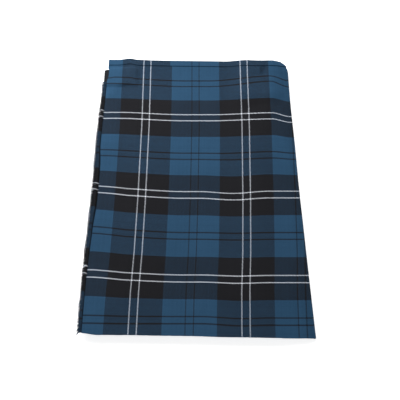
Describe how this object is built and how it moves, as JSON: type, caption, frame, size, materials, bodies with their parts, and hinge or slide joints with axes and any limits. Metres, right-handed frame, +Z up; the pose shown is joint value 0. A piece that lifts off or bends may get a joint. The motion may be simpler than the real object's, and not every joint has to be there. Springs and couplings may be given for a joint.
{
  "type": "kilt",
  "caption": "Tartan wrap kilt laid out flat, front apron up, with a fringed apron edge, knife-pleated back, waistband, and a leather hip strap with its buckle.",
  "frame": {"origin": "middle of the bounding box, on the surface the kilt lies on", "axes": "+Y from the hem to the waist, +Z up out of the front apron, +X towards the wearer's left hip"},
  "size_m": [0.4546, 0.623, 0.0211],
  "materials": {
    "tartan_cloth": "worsted wool twill in blue and black checks with fine white and black lines",
    "fringe_yarn": "loose wool yarns, black and navy with a few white",
    "strap_leather": "smooth black leather, slightly shiny",
    "buckle_metal": "polished nickel-plated wire"
  },
  "bodies": {
    "root": {"over_apron": "tartan_cloth", "under_apron": "tartan_cloth", "pleated_back": "tartan_cloth", "waistband_front": "tartan_cloth", "waistband_back": "tartan_cloth", "waistband_under": "tartan_cloth", "apron_fringe": "fringe_yarn", "hip_strap": "strap_leather", "buckle_tab": "strap_leather", "buckle_frame": "buckle_metal", "buckle_prong": "buckle_metal"}
  },
  "joints": []
}
